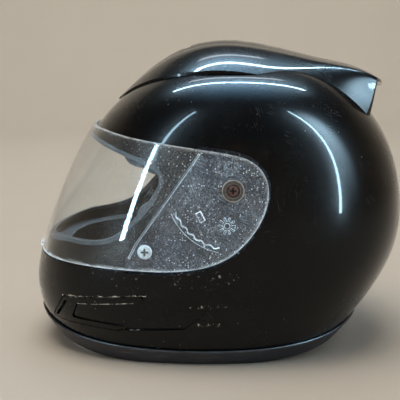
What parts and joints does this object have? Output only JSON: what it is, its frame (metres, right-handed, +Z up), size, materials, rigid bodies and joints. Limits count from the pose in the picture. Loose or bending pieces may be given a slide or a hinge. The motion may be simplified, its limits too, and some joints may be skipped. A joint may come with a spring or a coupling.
{
  "type": "full-face motorcycle helmet",
  "caption": "Glossy black full-face helmet with a clear hinged visor, a crown air fairing with a sliding vent, a rubber rim and a padded lining.",
  "frame": {"origin": "middle of the bounding box at table level, where the rim trim stands", "axes": "+Z up, the face looks towards -Y, the wearer's left is +X"},
  "size_m": [0.2508, 0.336, 0.2742],
  "materials": {
    "shell_gloss": "gloss",
    "trim_rubber": "matte",
    "gasket_rubber": "matte",
    "foam": "matte",
    "padding": "matte",
    "plate_plastic": "satin",
    "visor_clear": "gloss",
    "bush_plastic": "satin",
    "screw_rust": "matte",
    "screw_pale": "satin",
    "insert_brass": "satin",
    "slider_plastic": "matte",
    "vent_gloss": "gloss",
    "anchor_steel": "satin",
    "strap_web": "matte",
    "ring_steel": "polished"
  },
  "bodies": {
    "helmet": {"outer_shell": "shell_gloss", "bottom_trim": "trim_rubber", "eyeport_gasket": "gasket_rubber", "eps_liner": "foam", "chin_eps": "foam", "crown_pad": "padding", "cheek_pad_left": "padding", "cheek_pad_right": "padding", "neck_roll": "padding", "base_plate_left": "plate_plastic", "base_plate_right": "plate_plastic", "pivot_bush_left": "bush_plastic", "pivot_bush_right": "bush_plastic", "pivot_screw_left": "screw_rust", "pivot_screw_right": "screw_rust", "plate_screw_left": "screw_pale", "plate_screw_right": "screw_pale", "threaded_inserts": "insert_brass", "top_fairing": "shell_gloss", "chin_vent_left": "vent_gloss", "chin_vent_right": "vent_gloss", "strap_anchor_left": "anchor_steel", "strap_anchor_right": "anchor_steel", "anchor_rivets": "anchor_steel", "chin_strap_left": "strap_web", "chin_strap_right": "strap_web"},
    "visor": {"visor": "visor_clear"},
    "vent_slider": {"top_vent_slider": "slider_plastic"},
    "ring_lower": {"d_ring_lower": "ring_steel"},
    "ring_upper": {"d_ring_upper": "ring_steel"}
  },
  "joints": [
    {"name": "visor_hinge", "type": "hinge", "parent": "helmet", "child": "visor", "pos_m": [0, 0.009, 0.155], "axis": [-1, 0, 0], "range_deg": [0, 46]},
    {"name": "top_vent_slide", "type": "slide", "parent": "helmet", "child": "vent_slider", "axis": [0, -1, 0], "range_m": [0, 0.012]},
    {"name": "ring_lower_hinge", "type": "hinge", "parent": "helmet", "child": "ring_lower", "pos_m": [0.064, -0.009, 0.0055], "axis": [0, 1, 0], "range_deg": [0, 35]},
    {"name": "ring_upper_hinge", "type": "hinge", "parent": "helmet", "child": "ring_upper", "pos_m": [0.064, -0.009, 0.0103], "axis": [0, 1, 0], "range_deg": [0, 35]}
  ],
  "couplings": [
    {"joint": "ring_upper_hinge", "follows": "ring_lower_hinge", "ratio": 1}
  ]
}
